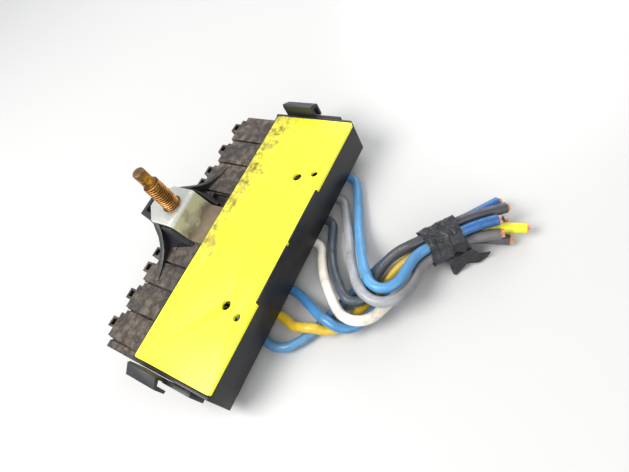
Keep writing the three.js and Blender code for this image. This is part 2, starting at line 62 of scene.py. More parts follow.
CAMERA_PLACE = (-0.07002, -0.18164, 0.20499)
CAMERA_TURN = (32.8718, 21.7388, -62.6292)
CAMERA_LENS, CAMERA_SENSOR = 27.382, 36
PLACE = {"stud_x": 0.0015, "stud_y": 0.028, "hub_x": 0.001, "fuse_y": -0.0217, "fuse_half": 0.0073}
STRAND = {"radius": 0.34, "spread": 0.70, "length": 3.2}
TAPE_START, TAPE_SPAN = 5.5, 19
LOOSE_END_BOTTOM = [
    (5.5, 1.0), (6.6, 0.3), (9, 0.7), (12.5, 2.8), (16.5, 1.2), (22.5, 0.5), (24.5, 2.4),
]
LOOSE_END_TOP = [(5.5, 9.3), (17, 9.6), (19.5, 5.2), (24.5, 3.2)]
STUD = {"foot": 32.6, "crest": 4.85, "root": 4.15, "tip": 3.5, "tip_length": 9.4, "head": 5.8}

# ---- cable routes, in millimetres, the same as the solids' ---------------------------------

BUNDLE_START = Vector((22.2, -109.4, 9.9))
BUNDLE_END = Vector((34.6, -121.6, 9.9))
BUNDLE_PITCH = 5.4
ALONG = (BUNDLE_END - BUNDLE_START).normalized()
ACROSS = Vector((-ALONG.y, ALONG.x, 0))
UP = Vector((0, 0, 1))
BUNDLE_LENGTH = (BUNDLE_END - BUNDLE_START).length


def linear(red, green, blue):
    """A colour given as 0 to 255, in linear light."""
    return tuple(
        c / 12.92 if c <= 0.04045 else ((c + 0.055) / 1.055) ** 2.4
        for c in (red / 255, green / 255, blue / 255)
    )


CABLES = {
    "cable_1": {
        "slot": "cable_light_blue",
        "finish": (linear(62, 126, 178), linear(96, 164, 212), linear(32, 88, 146), 0.30),
        "place": (-0.5, 1),
        "from": [
            (58, -46.6, 3.4), (56.3, -53, 3.3), (51, -57.2, 3.2), (44.9, -60.3, 3.2),
            (38.9, -63.4, 3.3), (32.9, -66.5, 3.8), (26.9, -69.6, 4.7), (21.3, -73.1, 6.3),
            (15.9, -76.7, 8.4), (10.7, -80.4, 10.7), (5.5, -84.3, 12.8), (0.5, -88.6, 14.4),
            (-3.8, -93.8, 15.3), (-4, -100.3, 15.7), (0.7, -104.9, 15.7), (7.3, -106.3, 15.5),
            (14, -107.4, 15),
        ],
        "to": [
            (38.5, -130.5, 14.4), (42.5, -135.9, 13.5),
        ],
    },
    "cable_2": {
        "slot": "cable_light_grey",
        "finish": (linear(96, 98, 102), linear(178, 180, 184), linear(96, 94, 94), 0.5),
        "place": (-1, 0),
        "from": [
            (43.5, -46.6, 3.4), (41.5, -52.8, 3.3), (36.1, -56.7, 3.2), (30.3, -60.3, 3.5),
            (24.8, -64, 4.5), (19.4, -67.7, 6.1), (14, -71.3, 8), (8.7, -75, 10.1),
            (3.6, -78.8, 12.2), (-1.4, -83, 13.9), (-6.3, -87.6, 15.1), (-9.8, -93.2, 15.4),
            (-10.7, -99.8, 15.1), (-7.5, -105.6, 14.3), (-2, -109.2, 13.3), (4.5, -110.3, 12),
            (11.1, -109.9, 10.6),
        ],
        "to": [
            (35, -132.1, 10), (37.7, -138.3, 10.1),
        ],
    },
    "cable_3": {
        "slot": "cable_dark_grey",
        "finish": (linear(46, 52, 60), linear(78, 88, 98), linear(62, 64, 70), 0.6),
        "place": (0.5, 1),
        "from": [
            (29, -46.6, 3.4), (26.8, -52.6, 3.3), (20.9, -55.7, 3.2), (14.8, -58.3, 3.4),
            (9, -61.5, 4), (3.5, -65.2, 5.1), (-1.3, -69.4, 6.8), (-5.8, -74.1, 8.5),
            (-10.2, -79, 9.5), (-12.5, -85.1, 9.5), (-9, -90.5, 9.2), (-2.5, -91.6, 9.3),
            (4.1, -91.9, 10.1), (10.2, -94.1, 11.4), (15.5, -97.9, 13), (19.8, -102.8, 14.3),
        ],
        "to": [
            (42.9, -126.7, 13.5), (47, -131.7, 11.9), (51.2, -136.7, 10.5),
        ],
    },
    "cable_4": {
        "slot": "cable_cream",
        "finish": (linear(206, 196, 178), linear(240, 234, 222), linear(84, 80, 80), 0.6),
        "place": (-0.5, -1),
        "from": [
            (14.5, -46.6, 3.4), (12.2, -52.8, 3.3), (6.3, -56.5, 3.6), (0.7, -60.4, 4.8),
            (-4.4, -64.7, 6.7), (-9.2, -69.5, 8.2), (-13.9, -74.6, 8.9), (-18.4, -79.9, 9.4),
            (-21.2, -85.9, 11), (-20.8, -92.7, 11), (-16.5, -97.7, 9.4), (-10.2, -100.5, 8.4),
            (-3.7, -102.8, 7.4), (2.8, -104.9, 6.4), (9.4, -106.8, 5.6), (16, -108.8, 4.8),
        ],
        "to": [
            (35.7, -127.9, 4.9), (37.6, -134.6, 4), (39.3, -141.2, 3.1),
        ],
    },
    "cable_5": {
        "slot": "cable_blue",
        "finish": (linear(44, 100, 148), linear(76, 138, 186), linear(32, 98, 118), 0.55),
        "place": (0.5, -1),
        "from": [
            (-14.5, -46.6, 3.4), (-15.7, -53.3, 3.4), (-18.2, -59.6, 4.3), (-20.9, -65.6, 6.3),
            (-23.5, -71.5, 8.4), (-25.4, -77.9, 9.9), (-26, -84.5, 8.4), (-22.7, -89.8, 6),
            (-17, -93.4, 5.4), (-10.8, -96.3, 4.6), (-4.4, -98.6, 3.6), (2.1, -100.5, 2.9),
            (8.9, -101.8, 2.8), (15.5, -103.1, 3.6),
        ],
        "to": [
            (40.9, -124.9, 4.7), (44.4, -130.8, 4.4), (47.7, -136.8, 4.4),
        ],
    },
    "cable_6": {
        "slot": "cable_yellow",
        "finish": (linear(186, 150, 30), linear(214, 182, 52), linear(214, 206, 40), 0.12),
        "place": (0, 0),
        "from": [
            (-29, -46.6, 3.4), (-30.2, -53.1, 3.3), (-32.1, -59.4, 4.3), (-31.8, -65.5, 7),
            (-30.5, -71.9, 8), (-28.4, -77.5, 5.3), (-24.2, -82.4, 3.5), (-18.6, -86, 3.1),
            (-12.5, -88.8, 2.9), (-6.4, -91.4, 3), (-0.2, -94, 4.1), (5.6, -96.6, 6),
            (11.1, -99.8, 8), (16.2, -104, 9.4),
        ],
        "to": [
            (39.2, -128, 9.3), (41.4, -134.2, 8), (43.4, -140.4, 6.7), (45.5, -146.7, 5.5),
        ],
    },
    "cable_7": {
        "slot": "cable_dark_blue",
        "finish": (linear(60, 108, 146), linear(92, 142, 180), linear(34, 92, 150), 0.92),
        "place": (1, 0),
        "from": [
            (-43.5, -46.6, 3.4), (-44.4, -53.4, 3.1), (-42.8, -60, 2.9), (-38.1, -65.1, 2.8),
            (-32.6, -69.1, 2.8), (-26.3, -72.1, 2.8), (-20, -74.9, 2.8), (-13.6, -77.7, 2.8),
            (-7.4, -80.7, 2.9), (-1.2, -83.7, 3.3), (5, -86.8, 4.2), (10.8, -90.2, 5.6),
            (16.1, -94.4, 7.2), (20.5, -99.4, 8.8),
        ],
        "to": [
            (45.2, -123.3, 8.9), (50.7, -127.2, 7.4), (56.2, -131.2, 6),
        ],
    },
}


def in_bundle(across, row, along):
    """A place in the hexagonal bundle: pitches across, rows up, millimetres along."""
    side = ACROSS * across * BUNDLE_PITCH
    rise = UP * row * BUNDLE_PITCH * math.sqrt(3) / 2
    return BUNDLE_START + ALONG * along + side + rise


def cable_points(name):
    """The route of one cable, in metres."""
    spec = CABLES[name]
    taped = [in_bundle(*spec["place"], along) for along in (-2, 5, 12, 19)]
    route = [Vector(p) for p in spec["from"]] + taped + [Vector(p) for p in spec["to"]]
    return [p * MM for p in route]


# ---- procedural finishes ---------------------------------------------------------------------


class Finish:
    """One procedural material, wired node by node."""

    def __init__(self, name, roughness=0.5, metallic=0.0):
        self.material = bpy.data.materials.new(name)
        self.material.use_nodes = True
        self.tree = self.material.node_tree
        self.shader = self.tree.nodes["Principled BSDF"]
        self.shader.inputs["Roughness"].default_value = roughness
        self.shader.inputs["Metallic"].default_value = metallic
        self.place = self.tree.nodes.new("ShaderNodeTexCoord").outputs["Object"]
        geometry = self.tree.nodes.new("ShaderNodeNewGeometry")
        self.facing_up = self.split(geometry.outputs["Normal"])[2]
        self.x, self.y, self.z = self.split(self.place)

    def put(self, socket, value):
        if hasattr(value, "is_output"):
            self.tree.links.new(value, socket)
        elif isinstance(value, tuple):
            socket.default_value = value if len(value) == 4 else (*value, 1.0)
        else:
            socket.default_value = value

    def split(self, vector):
        node = self.tree.nodes.new("ShaderNodeSeparateXYZ")
        self.put(node.inputs[0], vector)
        return node.outputs[:3]

    def stretched(self, scale):
        node = self.tree.nodes.new("ShaderNodeMapping")
        self.put(node.inputs["Vector"], self.place)
        node.inputs["Scale"].default_value = scale
        return node.outputs[0]

    def noise(self, scale, detail=4.0, rough=0.55, place=None):
        node = self.tree.nodes.new("ShaderNodeTexNoise")
        self.put(node.inputs["Vector"], place or self.place)
        node.inputs["Scale"].default_value = scale
        node.inputs["Detail"].default_value = detail
        node.inputs["Roughness"].default_value = rough
        return node.outputs["Fac"]

    def step(self, value, low, high, out_low=0.0, out_high=1.0):
        node = self.tree.nodes.new("ShaderNodeMapRange")
        node.interpolation_type = "SMOOTHSTEP"
        self.put(node.inputs["Value"], value)
        for socket, number in zip(node.inputs[1:5], (low, high, out_low, out_high)):
            self.put(socket, number)
        return node.outputs[0]

    def math(self, operation, a, b=0.0, c=0.0):
        node = self.tree.nodes.new("ShaderNodeMath")
        node.operation = operation
        for socket, value in zip(node.inputs, (a, b, c)):
            self.put(socket, value)
        return node.outputs[0]

    def times(self, a, b):
        return self.math("MULTIPLY", a, b)

    def mix(self, factor, a, b):
        node = self.tree.nodes.new("ShaderNodeMix")
        node.data_type = "RGBA"
        self.put(node.inputs["Factor"], factor)
        self.put(node.inputs["A"], a)
        self.put(node.inputs["B"], b)
        return node.outputs["Result"]

    def colour(self, value):
        self.put(self.shader.inputs["Base Color"], value)
        return self

    def roughness(self, value):
        self.put(self.shader.inputs["Roughness"], value)
        return self

    def metallic(self, value):
        self.put(self.shader.inputs["Metallic"], value)
        return self

    def bump(self, height, distance, strength=1.0):
        node = self.tree.nodes.new("ShaderNodeBump")
        node.inputs["Strength"].default_value = strength
        node.inputs["Distance"].default_value = distance
        self.put(node.inputs["Height"], height)
        self.put(self.shader.inputs["Normal"], node.outputs[0])
        return self


def black_moulding(name, dust=0.35):
    """Satin black moulding with a fine spark texture and settled dust."""
    f = Finish(name, 0.5)
    patches = f.step(f.noise(38), 0.42, 0.68)
    film = f.times(f.step(f.facing_up, -0.2, 1.0, 0.35, 1.0), patches)
    body = f.mix(f.noise(160, 2), linear(15, 16, 20), linear(30, 31, 35))
    f.colour(f.mix(f.times(film, dust), body, linear(96, 88, 78)))
    f.roughness(f.step(film, 0, 1, 0.42, 0.78))
    return f.bump(f.math("ADD", f.noise(2600, 2), f.times(f.noise(300), 1.4)), 0.00006).material


def dirt_and_painted_shade(name):
    """Black moulding under a layer of dried brown dust, worn thin and streaked; the dust lies on
    upward faces, and the side faces, left near black, are also painted shade in the grooves.
    """
    f = Finish(name, 0.8)
    # Round the hub, above the carrier's top, the dust is taken off and the moulding left black:
    # partly clean plastic, partly painted shade under the bracket.
    near_hub = f.math("ABSOLUTE", f.math("SUBTRACT", f.x, PLACE["hub_x"]))
    hub = f.times(f.step(near_hub, 0.030, 0.042, 1, 0), f.step(f.z, 0.0207, 0.0216))
    # Upward faces take the dust and side faces stay near black; the dark sides are partly bare
    # plastic and partly painted shade in the grooves.
    upward_dust_and_side_shade = f.step(f.facing_up, 0.0, 0.95, 0.12, 1.0)
    smear = f.noise(105, 9, 0.74, f.stretched((1.0, 0.40, 1)))
    patch = f.step(smear, 0.36, 0.66, 0.22, 1.0)
    dirt = f.times(f.times(upward_dust_and_side_shade, patch), f.math("SUBTRACT", 1.0, f.times(hub, 0.93)))
    earth = f.mix(f.step(f.noise(260, 8, 0.72), 0.40, 0.64), linear(58, 49, 42), linear(116, 103, 90))
    fleck = f.step(f.noise(520, 3, 0.7), 0.60, 0.72)
    earth = f.mix(f.times(fleck, 0.55), earth, linear(46, 39, 34))
    f.colour(f.mix(dirt, linear(25, 25, 28), earth))
    f.roughness(f.step(dirt, 0, 1, 0.42, 0.95))
    return f.bump(f.math("ADD", f.noise(900, 6), f.times(smear, 1.8)), 0.00022).material


def lid_yellow(name):
    """Bright yellow moulding, brown with dirt along the stud side and its far corner."""
    f = Finish(name, 0.42)
    wander = f.math("SUBTRACT", f.noise(52, 7, 0.66), 0.5)
    edge = f.math("ADD", f.y, f.times(wander, 0.034))
    along_x = f.math("ADD", f.x, f.times(wander, 0.06))
    band = f.times(f.step(edge, -0.0105, -0.0055), f.step(along_x, -0.034, -0.008))
    middle = f.times(f.step(edge, -0.0150, -0.0085), f.step(along_x, 0.004, 0.026))
    corner = f.times(f.step(edge, -0.028, -0.009), f.step(along_x, 0.042, 0.066))
    soil = f.math("MAXIMUM", band, f.math("MAXIMUM", middle, f.times(corner, 0.95)))
    soil = f.times(soil, f.step(f.noise(150, 8, 0.74), 0.38, 0.60, 0.34, 1.0))
    clean = f.mix(f.noise(24), linear(251, 247, 28), linear(255, 254, 60))
    specks = f.step(f.noise(540, 2), 0.72, 0.78)
    clean = f.mix(f.times(specks, 0.5), clean, linear(170, 150, 50))
    earth = f.mix(f.step(f.noise(110, 5), 0.35, 0.65), linear(92, 78, 36), linear(166, 152, 62))
    f.colour(f.mix(soil, clean, earth))
    f.roughness(f.step(soil, 0, 1, 0.38, 0.85))
    return f.bump(f.math("ADD", f.noise(1800, 2), f.times(soil, 1.5)), 0.00005).material


def plated_steel(name):
    """Bright plated strip with stains on its upright, olive there partly from its own tone and partly
    as painted shade of the upright face, and earthy at its foot.
    """
    f = Finish(name, 0.34, 1.0)
    grain = f.noise(60, 4, 0.6, f.stretched((18, 1, 1)))
    stain = f.step(f.noise(95, 6, 0.65), 0.50, 0.66)
    upright = f.step(f.z, 0.0335, 0.0352, 1, 0)
    foot = f.math("ADD", f.y, f.times(f.math("SUBTRACT", f.noise(120, 5), 0.5), 0.007))
    buried = f.step(foot, 0.0135, 0.0165, 1, 0)
    metal = f.mix(grain, linear(206, 206, 196), linear(236, 236, 228))
    # The upright gets an olive tone: partly the plating's own stained tone, partly painted shade of
    # that face against the lighter top.
    metal = f.mix(f.times(upright, 0.75), metal, linear(176, 172, 128))
    soil = f.math("MAXIMUM", f.times(stain, f.step(upright, 0, 1, 0.22, 0.6)), buried)
    f.colour(f.mix(soil, metal, f.mix(f.noise(150, 5), linear(78, 66, 48), linear(128, 114, 94))))
    f.metallic(f.step(soil, 0, 1, 0.9, 0.05))
    f.roughness(f.step(soil, 0, 1, 0.33, 0.9))
    return f.bump(f.math("ADD", grain, f.times(soil, 2.0)), 0.00008).material


def yellow_zinc(name):
    """Yellow passivated stud, brown in its thread roots and worn dark at the tip."""
    f = Finish(name, 0.42, 0.85)
    out = f.math("SQRT", f.math("ADD",
        f.math("POWER", f.math("SUBTRACT", f.x, PLACE["stud_x"]), 2.0),
        f.math("POWER", f.math("SUBTRACT", f.y, PLACE["stud_y"]), 2.0)))
    root = f.times(f.step(out, 0.0042, 0.0047, 1, 0), f.step(f.z, 0.0545, 0.0555, 1, 0))
    tip = f.step(f.math("ADD", f.z, f.times(f.noise(260), 0.006)), 0.0635, 0.0668)
    tint = f.mix(f.step(f.noise(200, 5), 0.35, 0.65), linear(132, 88, 42), linear(190, 140, 78))
    tint = f.mix(f.times(f.step(f.noise(420, 4), 0.50, 0.68), 0.8), tint, linear(84, 58, 36))
    tint = f.mix(f.times(root, 0.75), tint, linear(58, 38, 22))
    f.colour(f.mix(f.times(tip, 0.7), tint, linear(96, 78, 62)))
    f.roughness(f.step(f.noise(400), 0.3, 0.7, 0.32, 0.6))
    return f.bump(f.noise(1500, 4), 0.00006).material


def plain_metal(name, dull, bright, roughness):
    """Small hardware: plated metal with fine cloudiness."""
    f = Finish(name, roughness, 1.0)
    f.colour(f.mix(f.noise(320, 5), dull, bright))
    f.roughness(f.step(f.noise(210, 4), 0.3, 0.7, roughness - 0.08, roughness + 0.16))
    return f.bump(f.noise(1400, 4), 0.00004).material


def insulation(name, dull, bright, end, stain=0.4):
    """Cable insulation, clean by the box and soiled towards the tape, with its cut-end colour."""
    f = Finish(name, 0.34)
    near_tape = f.math("SUBTRACT", f.times(f.x, 0.713), f.times(f.y, 0.701))
    soiled = f.step(f.math("ADD", near_tape, f.times(f.noise(60, 3), 0.02)), 0.060, 0.098)
    beyond = f.step(near_tape, 0.108, 0.112)
    body = f.mix(f.noise(80, 3), dull, bright)
    grime = f.step(f.noise(130, 6, 0.65), 0.46, 0.70)
    film = f.math("MAXIMUM", f.times(soiled, stain), f.times(grime, 0.34))
    body = f.mix(film, body, linear(58, 52, 48))
    f.colour(f.mix(beyond, body, f.mix(f.times(grime, 0.4), end, linear(40, 38, 40))))
    f.roughness(f.step(grime, 0, 1, 0.28, 0.6))
    return f.bump(f.math("ADD", f.noise(900, 3), f.times(grime, 2.0)), 0.00007).material


def vinyl_tape(name):
    """Black vinyl tape: glossy, stretched and creased."""
    f = Finish(name, 0.3)
    crease = f.noise(210, 5, 0.6, f.stretched((1.6, 1, 2.2)))
    f.colour(f.mix(f.step(f.noise(90, 4), 0.4, 0.7), linear(14, 15, 19), linear(38, 39, 46)))
    f.roughness(f.step(crease, 0.3, 0.7, 0.22, 0.5))
    return f.bump(f.math("ADD", crease, f.times(f.noise(1200, 3), 0.2)), 0.0006).material


def strip_fuse_finish(name):
    """Tinned strip with a pale moulded body between its two stud holes."""
    f = Finish(name, 0.5)
    from_middle = f.math("ABSOLUTE", f.math("SUBTRACT", f.y, PLACE["fuse_y"]))
    metal = f.step(from_middle, PLACE["fuse_half"], PLACE["fuse_half"] + 0.0001)
    moulding = f.mix(f.noise(110, 4), linear(206, 200, 182), linear(228, 224, 210))
    tin = f.mix(f.noise(320, 5), linear(168, 164, 156), linear(206, 204, 198))
    f.colour(f.mix(metal, moulding, tin))
    f.metallic(metal)
    f.roughness(f.step(f.noise(300), 0.3, 0.7, 0.34, 0.58))
    return f.bump(f.noise(1500, 3), 0.00004).material


# ---- shared modelling steps ------------------------------------------------------------------


def deselect():
    if bpy.context.object and bpy.context.object.mode != "OBJECT":
        bpy.ops.object.mode_set(mode="OBJECT")
    bpy.ops.object.select_all(action="DESELECT")


def take(piece):
    """Makes one piece the selected and active one."""
    deselect()
    piece.hide_set(False)
    piece.select_set(True)
    bpy.context.view_layer.objects.active = piece
    return piece


def named(name):
    piece = bpy.context.object
    piece.name = name
    piece.data.name = name
    return piece


def settle(piece):
    """Puts a piece's place into its mesh, so that its object sits at the origin."""
    take(piece)
    bpy.ops.object.transform_apply(location=True, rotation=True, scale=True)
    return piece


def smooth(piece, degrees=32):
    take(piece)
    bpy.ops.object.shade_smooth_by_angle(angle=math.radians(degrees))
    return piece


def painted(piece, material):
    piece.data.materials.clear()
    piece.data.materials.append(material)
    return piece


def rounded_from(node, name, width, segments=2, limit=28):
    """A piece that starts as the node's own solid and has its edges rounded."""
    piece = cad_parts[node].copy()
    piece.data = piece.data.copy()
    piece.name = name
    piece.data.name = name
    piece.parent = None
    bpy.context.collection.objects.link(piece)
    take(piece)
    bpy.ops.object.mode_set(mode="EDIT")
    bpy.ops.mesh.select_all(action="SELECT")
    bpy.ops.mesh.remove_doubles(threshold=0.000002)
    bpy.ops.mesh.dissolve_limited(angle_limit=math.radians(1))
    bpy.ops.object.mode_set(mode="OBJECT")
    bevel = piece.modifiers.new("rounded edges", "BEVEL")
    bevel.width = width * MM
    bevel.segments = segments
    bevel.limit_method = "ANGLE"
    bevel.angle_limit = math.radians(limit)
    bevel.use_clamp_overlap = True
    bevel.harden_normals = False
    bpy.ops.object.modifier_apply(modifier=bevel.name)
    return smooth(piece)


def keep(piece, body, slot, *nodes):
    """Hangs a finished piece on the body it rides on and hides the solids it stands for; slot is not
    used.
    """
    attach(piece, body)
    if nodes:
        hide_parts(*nodes)
    return piece


# ---- settings --------------------------------------------------------------------------------


class FuseBoxSettings(bpy.types.PropertyGroup):
    """Sizes and colours that a user would change."""

    edge_rounding: bpy.props.FloatProperty(
        name="Edge rounding", description="Radius on the moulded edges, in millimetres",
        default=0.5, min=0.1, max=1.0,
    )
    cable_diameter: bpy.props.FloatProperty(
        name="Cable diameter", description="Outside diameter of each cable",
        default=0.005, min=0.004, max=0.0052, unit="LENGTH",
    )
    thread_pitch: bpy.props.FloatProperty(
        name="Thread pitch", description="Pitch of the input stud's thread, in millimetres",
        default=1.5, min=1.0, max=2.0,
    )
    strand_count: bpy.props.IntProperty(
        name="Strand rings", description="Rings of copper strands round the middle one",
        default=2, min=1, max=3,
    )
    floor_colour: bpy.props.FloatVectorProperty(
        name="Floor colour", description="Colour of the surface under the box",
        default=(0.53, 0.525, 0.517), subtype="COLOR", size=3, min=0, max=1,
    )
    copper_colour: bpy.props.FloatVectorProperty(
        name="Copper colour", description="Colour of the bare strands",
        default=(0.80, 0.32, 0.16), subtype="COLOR", size=3, min=0, max=1,
    )


def settings():
    return bpy.context.scene.fuse_box


# ---- stage -----------------------------------------------------------------------------------


def soft_light(name, place, target, size, power, colour=(1, 1, 1)):
    bpy.ops.object.light_add(type="AREA", location=place)
    lamp = bpy.context.object
    lamp.name = name
    lamp.data.shape = "DISK"
    lamp.data.size = size
    lamp.data.energy = power
    lamp.data.color = colour
    lamp.rotation_euler = (Vector(target) - Vector(place)).to_track_quat("-Z", "Y").to_euler()
    return lamp


class FUSEBOX_OT_stage(bpy.types.Operator):
    """Adds the camera, the pale floor and soft light"""

    bl_idname = "fusebox.stage"
    bl_label = "Stage"

    def execute(self, context):
        bpy.ops.object.camera_add(
            location=CAMERA_PLACE,
            rotation=tuple(math.radians(a) for a in CAMERA_TURN),
        )
        camera = bpy.context.object
        camera.name = "camera"
        camera.data.sensor_width = CAMERA_SENSOR
        camera.data.lens = CAMERA_LENS
        camera.data.clip_start = 0.01
        context.scene.camera = camera

        bpy.ops.mesh.primitive_plane_add(size=4, location=(0, 0, -0.0003))
        floor = named("floor")
        f = Finish("pale painted surface", 0.28)
        tone = tuple(settings().floor_colour)
        f.colour(f.mix(f.noise(7, 3), tone, tuple(c * 0.965 for c in tone)))
        f.bump(f.noise(240, 3), 0.00002)
        painted(floor, f.material)

        world = bpy.data.worlds.new("studio")
        world.use_nodes = True
        world.node_tree.nodes["Background"].inputs[0].default_value = (0.93, 0.96, 1.0, 1)
        world.node_tree.nodes["Background"].inputs[1].default_value = 0.75
        context.scene.world = world
        middle = (0.0, -0.03, 0.02)
        soft_light("key light", (-0.45, 0.35, 0.85), middle, 0.7, 13.0, (1.0, 0.985, 0.96))
        soft_light("fill light", (-0.55, -0.75, 0.55), middle, 0.9, 4.5)
        soft_light("edge light", (0.75, 0.1, 0.45), middle, 0.6, 3.0)
        context.scene.view_settings.view_transform = "Standard"
        return {"FINISHED"}


# ---- cables ----------------------------------------------------------------------------------


def cable_curve(name, points, radius):
    data = bpy.data.curves.new(name, "CURVE")
    data.dimensions = "3D"
    data.resolution_u = 6
    data.bevel_depth = radius
    data.bevel_resolution = 5
    data.use_fill_caps = True
    spline = data.splines.new("BEZIER")
    spline.bezier_points.add(len(points) - 1)
    for knot, point in zip(spline.bezier_points, points):
        knot.co = point
        knot.handle_left_type = knot.handle_right_type = "AUTO"
    piece = bpy.data.objects.new(name, data)
    bpy.context.collection.objects.link(piece)
    return piece


def strand_ends(name, end, direction, shade):
    """Bare copper strands standing a little out of a cable's cut end."""
    wire, spread = STRAND["radius"] * MM, STRAND["spread"] * MM
    spots = [Vector((0, 0, 0))]
    for ring in range(1, settings().strand_count + 1):
        for i in range(6 * ring):
            angle = 2 * math.pi * i / (6 * ring)
            spots.append(Vector((math.cos(angle), math.sin(angle), 0)) * spread * ring)
    length = STRAND["length"] * MM
    turn = direction.to_track_quat("Z", "Y").to_matrix().to_4x4()
    copies = []
    dice = random.Random(name)
    deselect()
    bpy.ops.mesh.primitive_cylinder_add(vertices=7, radius=wire, depth=length, location=(0, 0, 0))
    first = named(name)
    for spot in spots[1:]:
        copy = first.copy()
        copy.data = first.data.copy()
        bpy.context.collection.objects.link(copy)
        proud = Vector((0, 0, dice.uniform(-0.5, 0.35) * MM))
        copy.data.transform(Matrix.Translation(spot + proud))
        copies.append(copy)
    take(first)
    for copy in copies:
        copy.select_set(True)
    bpy.ops.object.join()
    first.data.transform(Matrix.Translation(end - direction * length * 0.06) @ turn)
    painted(smooth(first, 40), shade)
    return first


class FUSEBOX_OT_cables(bpy.types.Operator):
    """Lays the seven cables along their routes and strands their cut ends"""

    bl_idname = "fusebox.cables"
    bl_label = "Cables"

    def execute(self, context):
        diameter = settings().cable_diameter
        f = Finish("cut copper", 0.35, 1.0)
        copper = tuple(settings().copper_colour)
        f.colour(f.mix(f.noise(700, 3), copper, (0.88, 0.50, 0.34)))
        shade = f.bump(f.noise(2400, 2), 0.00003).material
        for i in WAYS:
            name = f"cable_{i}"
            spec = CABLES[name]
            points = cable_points(name)
            piece = cable_curve(f"{name}_insulation", points, diameter / 2)
            painted(piece, insulation(f"{name} insulation", *spec["finish"]))
            heading = (points[-1] - points[-2]).normalized()
            strands = strand_ends(f"{name}_strands", points[-1], heading, shade)
            keep(strands, BOX, spec["slot"])
            keep(piece, BOX, spec["slot"], name)
        return {"FINISHED"}


# ---- tape ------------------------------------------------------------------------------------


def tape_radius(angle, along):
    """Outside radius of the wrap: six soft flats over the cables, overlaps and creases."""
    flats = 0.28 * math.cos(6 * angle)
    overlap = 0.42 * ((along / 6.2 + angle / (2 * math.pi)) % 1.0)
    spot = Vector((math.cos(angle) * 2.0, math.sin(angle) * 2.0, along * 0.22))
    crease = 0.55 * noise.noise(spot * 1.3) + 0.28 * noise.noise(spot * 3.1)
    return 8.95 + flats + overlap + crease


class FUSEBOX_OT_tape(bpy.types.Operator):
    """Wraps the creased tape round the bundle and hangs its loose end"""

    bl_idname = "fusebox.tape"
    bl_label = "Tape"

    def execute(self, context):
        material = vinyl_tape("black vinyl tape")
        bpy.ops.mesh.primitive_grid_add(x_subdivisions=96, y_subdivisions=34, size=1)
        wrap = named("tape_wrap_creased")
        for vertex in wrap.data.vertices:
            angle = (vertex.co.x + 0.5) * 2 * math.pi
            share = vertex.co.y + 0.5
            ragged = 0.9 * math.sin(2 * angle + 0.6) + 0.5 * math.sin(5 * angle)
            along = share * (BUNDLE_LENGTH - 0.5) + ragged * (share - 0.5)
            radius = tape_radius(angle, along)
            place = BUNDLE_START + ALONG * along
            place += ACROSS * radius * math.cos(angle) + UP * radius * math.sin(angle)
            vertex.co = place * MM
        take(wrap)
        bpy.ops.object.mode_set(mode="EDIT")
        bpy.ops.mesh.select_all(action="SELECT")
        bpy.ops.mesh.remove_doubles(threshold=0.00001)
        bpy.ops.mesh.normals_make_consistent(inside=False)
        bpy.ops.object.mode_set(mode="OBJECT")
        wall = wrap.modifiers.new("tape layers", "SOLIDIFY")
        wall.thickness = 0.6 * MM
        wall.offset = -1
        bpy.ops.object.modifier_apply(modifier=wall.name)
        painted(smooth(wrap, 40), material)
        keep(wrap, BOX, "black_tape", "tape_wrap")

        tail = self.loose_end()
        painted(tail, material)
        keep(tail, BOX, "black_tape", "tape_tail")
        return {"FINISHED"}

    def loose_end(self):
        bpy.ops.mesh.primitive_grid_add(x_subdivisions=44, y_subdivisions=16, size=1)
        tail = named("tape_tail_creased")
        for vertex in tail.data.vertices:
            along = TAPE_START + TAPE_SPAN * (vertex.co.x + 0.5)
            bottom = between(LOOSE_END_BOTTOM, along)
            top = between(LOOSE_END_TOP, along)
            height = bottom + (top - bottom) * (vertex.co.y + 0.5)
            lean = 13.1 - 3.0 * (height / 9.0) ** 0.8
            crumple = 0.9 * noise.noise(Vector((along * 0.25, height * 0.3, 4.0)))
            place = BUNDLE_START + ALONG * along - ACROSS * (lean + crumple)
            vertex.co = Vector((place.x, place.y, height + 0.1)) * MM
        take(tail)
        wall = tail.modifiers.new("tape", "SOLIDIFY")
        wall.thickness = 0.35 * MM
        wall.offset = 0
        bpy.ops.object.modifier_apply(modifier=wall.name)
        return smooth(tail, 50)


def between(points, at):
    """A value read off a polyline of (place, value) points."""
    for (x0, y0), (x1, y1) in zip(points, points[1:]):
        if at <= x1:
            return y0 + (y1 - y0) * (at - x0) / (x1 - x0)
    return points[-1][1]


# ---- mouldings -------------------------------------------------------------------------------


class FUSEBOX_OT_housing(bpy.types.Operator):
    """Finishes the black housing"""

    bl_idname = "fusebox.housing"
    bl_label = "Housing"

    def execute(self, context):
        piece = rounded_from("housing", "housing_shell", settings().edge_rounding)
        painted(piece, black_moulding("housing black"))
        keep(piece, BOX, "black_plastic", "housing")
        return {"FINISHED"}


class FUSEBOX_OT_lid(bpy.types.Operator):
    """Finishes the yellow lid"""

    bl_idname = "fusebox.lid"
    bl_label = "Lid"

    def execute(self, context):
        piece = rounded_from("lid", "lid_plate", 0.45, 3)
        painted(piece, lid_yellow("lid yellow"))
        keep(piece, LID, "yellow_plastic", "lid")
        return {"FINISHED"}


class FUSEBOX_OT_carrier(bpy.types.Operator):
    """Finishes the castellated carrier: its layer of dirt, and painted shade on its sides and under
    the bracket
    """

    bl_idname = "fusebox.carrier"
    bl_label = "Carrier"

    def execute(self, context):
        piece = rounded_from("comb_carrier", "carrier_blocks", settings().edge_rounding)
        painted(piece, dirt_and_painted_shade("carrier dirt and painted shade"))
        keep(piece, BOX, "dusty_plastic", "comb_carrier")
        return {"FINISHED"}


